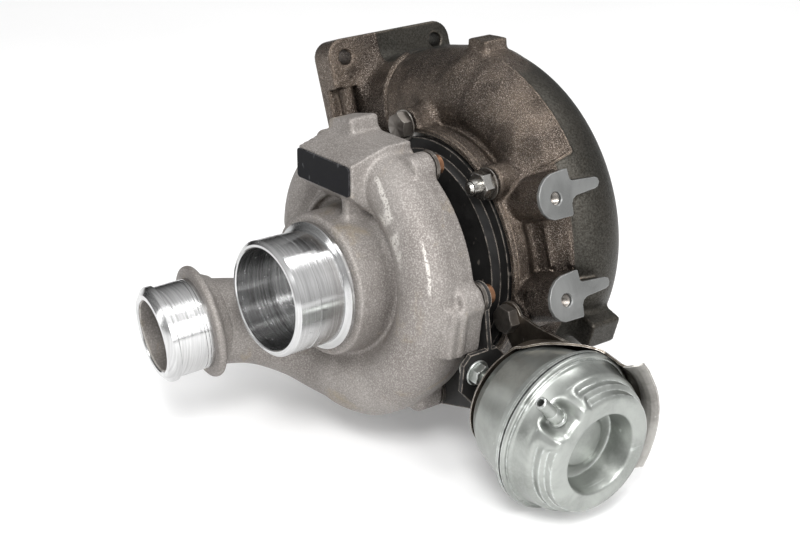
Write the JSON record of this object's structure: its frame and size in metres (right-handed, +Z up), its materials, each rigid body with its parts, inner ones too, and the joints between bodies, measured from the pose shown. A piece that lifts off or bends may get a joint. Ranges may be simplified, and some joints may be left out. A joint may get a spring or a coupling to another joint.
{
  "type": "turbocharger",
  "caption": "Variable-nozzle turbocharger with a snail-shaped compressor, an iron turbine housing with a square inlet flange and a vacuum actuator can.",
  "frame": {"origin": "centre of the compressor inlet's mouth, on the shaft axis", "axes": "+Y along the shaft from the compressor to the turbine, +Z up, +X to the side that carries the actuator can"},
  "size_m": [0.2654, 0.2298, 0.2019],
  "materials": {
    "compressor_casting": "satin sand-cast aluminium, turned necks",
    "nameplate": "matt black anodised sheet",
    "copper_screws": "copper-plated steel",
    "steel": "bright machined steel",
    "dark_steel": "dark oiled steel",
    "zinc": "zinc-plated pressed steel",
    "centre_iron": "black cast iron",
    "turbine_iron": "brown-black oiled cast iron",
    "bronze": "bearing bronze",
    "rubber": "moulded rubber",
    "wheel_aluminium": "milled aluminium",
    "heat_alloy": "heat-resisting alloy",
    "shield_steel": "heat-tinted sheet steel"
  },
  "bodies": {
    "housings": {"compressor_housing": "compressor_casting", "nameplate": "nameplate", "cover_screws": "copper_screws", "cover_washers": "steel", "backplate": "compressor_casting", "backplate_o_ring": "rubber", "backplate_screws": "dark_steel", "centre_housing": "centre_iron", "front_journal_bearing": "bronze", "rear_journal_bearing": "bronze", "bearing_spacer": "steel", "bearing_circlips": "steel", "thrust_bearing": "bronze", "piston_rings": "dark_steel", "turbine_heat_shield": "heat_alloy", "turbine_housing": "turbine_iron", "turbine_gasket_ring": "steel", "turbine_bolts": "dark_steel", "turbine_washers": "dark_steel", "turbine_stud": "steel", "turbine_stud_nut": "zinc", "nozzle_ring": "heat_alloy", "nozzle_shroud_ring": "heat_alloy", "nozzle_spacers": "heat_alloy", "ring_guide_pins": "heat_alloy", "crank_bush": "heat_alloy", "stop_screw": "zinc", "stop_screw_nut": "zinc", "actuator_bracket": "dark_steel", "actuator_studs": "zinc", "actuator_nuts": "zinc", "actuator_rear_shell": "zinc", "actuator_front_shell": "zinc", "vacuum_nipple": "zinc", "rod_guide_bush": "bronze", "diaphragm": "rubber", "actuator_spring": "steel", "actuator_heat_shield": "shield_steel"},
    "rotor": {"turbine_wheel_shaft": "heat_alloy", "compressor_wheel": "wheel_aluminium", "compressor_nut": "steel", "thrust_collar": "steel", "oil_flinger": "steel"},
    "crank": {"crank_shaft": "heat_alloy", "outer_lever": "dark_steel", "lever_pin": "steel"},
    "ring": {"unison_ring": "heat_alloy"},
    "rod": {"actuator_rod": "zinc", "rod_end": "dark_steel", "rod_lock_nut": "zinc", "piston_cup": "steel"},
    "vane_1_body": {"vane_1": "heat_alloy"},
    "vane_2_body": {"vane_2": "heat_alloy"},
    "vane_3_body": {"vane_3": "heat_alloy"},
    "vane_4_body": {"vane_4": "heat_alloy"},
    "vane_5_body": {"vane_5": "heat_alloy"},
    "vane_6_body": {"vane_6": "heat_alloy"},
    "vane_7_body": {"vane_7": "heat_alloy"},
    "vane_8_body": {"vane_8": "heat_alloy"},
    "vane_9_body": {"vane_9": "heat_alloy"}
  },
  "joints": [
    {"name": "rotor_spin", "type": "hinge", "parent": "housings", "child": "rotor", "pos_m": [0, 0.078, 0], "axis": [0, 1, 0], "continuous": true},
    {"name": "lever_turn", "type": "hinge", "parent": "housings", "child": "crank", "pos_m": [0.03081, 0.094, -0.01437], "axis": [0, -1, 0], "range_deg": [0, 26.01]},
    {"name": "rod_slide", "type": "slide", "parent": "housings", "child": "rod", "axis": [0.9945, 0, -0.1045], "range_m": [0, 0.01216], "stiffness_N_per_m": 600, "springref_m": -0.003, "deforming": ["actuator_spring", "diaphragm"]},
    {"name": "ring_turn", "type": "hinge", "parent": "housings", "child": "ring", "pos_m": [0, 0.119, 0], "axis": [0, -1, 0], "range_deg": [0, 5.91]},
    {"name": "vane_1_turn", "type": "hinge", "parent": "housings", "child": "vane_1_body", "pos_m": [0.02404, 0.1296, -0.02404], "axis": [0, -1, 0], "range_deg": [0, 26.01]},
    {"name": "vane_2_turn", "type": "hinge", "parent": "housings", "child": "vane_2_body", "pos_m": [0.00296, 0.1296, -0.03387], "axis": [0, -1, 0], "range_deg": [0, 26.01]},
    {"name": "vane_3_turn", "type": "hinge", "parent": "housings", "child": "vane_3_body", "pos_m": [-0.0195, 0.1296, -0.02785], "axis": [0, -1, 0], "range_deg": [0, 26.01]},
    {"name": "vane_4_turn", "type": "hinge", "parent": "housings", "child": "vane_4_body", "pos_m": [-0.03284, 0.1296, -0.0088], "axis": [0, -1, 0], "range_deg": [0, 26.01]},
    {"name": "vane_5_turn", "type": "hinge", "parent": "housings", "child": "vane_5_body", "pos_m": [-0.03081, 0.1296, 0.01437], "axis": [0, -1, 0], "range_deg": [0, 26.01]},
    {"name": "vane_6_turn", "type": "hinge", "parent": "housings", "child": "vane_6_body", "pos_m": [-0.01437, 0.1296, 0.03081], "axis": [0, -1, 0], "range_deg": [0, 26.01]},
    {"name": "vane_7_turn", "type": "hinge", "parent": "housings", "child": "vane_7_body", "pos_m": [0.0088, 0.1296, 0.03284], "axis": [0, -1, 0], "range_deg": [0, 26.01]},
    {"name": "vane_8_turn", "type": "hinge", "parent": "housings", "child": "vane_8_body", "pos_m": [0.02785, 0.1296, 0.0195], "axis": [0, -1, 0], "range_deg": [0, 26.01]},
    {"name": "vane_9_turn", "type": "hinge", "parent": "housings", "child": "vane_9_body", "pos_m": [0.03387, 0.1296, -0.00296], "axis": [0, -1, 0], "range_deg": [0, 26.01]}
  ],
  "couplings": [
    {"joint": "lever_turn", "follows": "rod_slide", "rad_per_m": 37.307},
    {"joint": "ring_turn", "follows": "rod_slide", "rad_per_m": 8.4788},
    {"joint": "vane_1_turn", "follows": "rod_slide", "rad_per_m": 37.307},
    {"joint": "vane_2_turn", "follows": "rod_slide", "rad_per_m": 37.307},
    {"joint": "vane_3_turn", "follows": "rod_slide", "rad_per_m": 37.307},
    {"joint": "vane_4_turn", "follows": "rod_slide", "rad_per_m": 37.307},
    {"joint": "vane_5_turn", "follows": "rod_slide", "rad_per_m": 37.307},
    {"joint": "vane_6_turn", "follows": "rod_slide", "rad_per_m": 37.307},
    {"joint": "vane_7_turn", "follows": "rod_slide", "rad_per_m": 37.307},
    {"joint": "vane_8_turn", "follows": "rod_slide", "rad_per_m": 37.307},
    {"joint": "vane_9_turn", "follows": "rod_slide", "rad_per_m": 37.307}
  ]
}
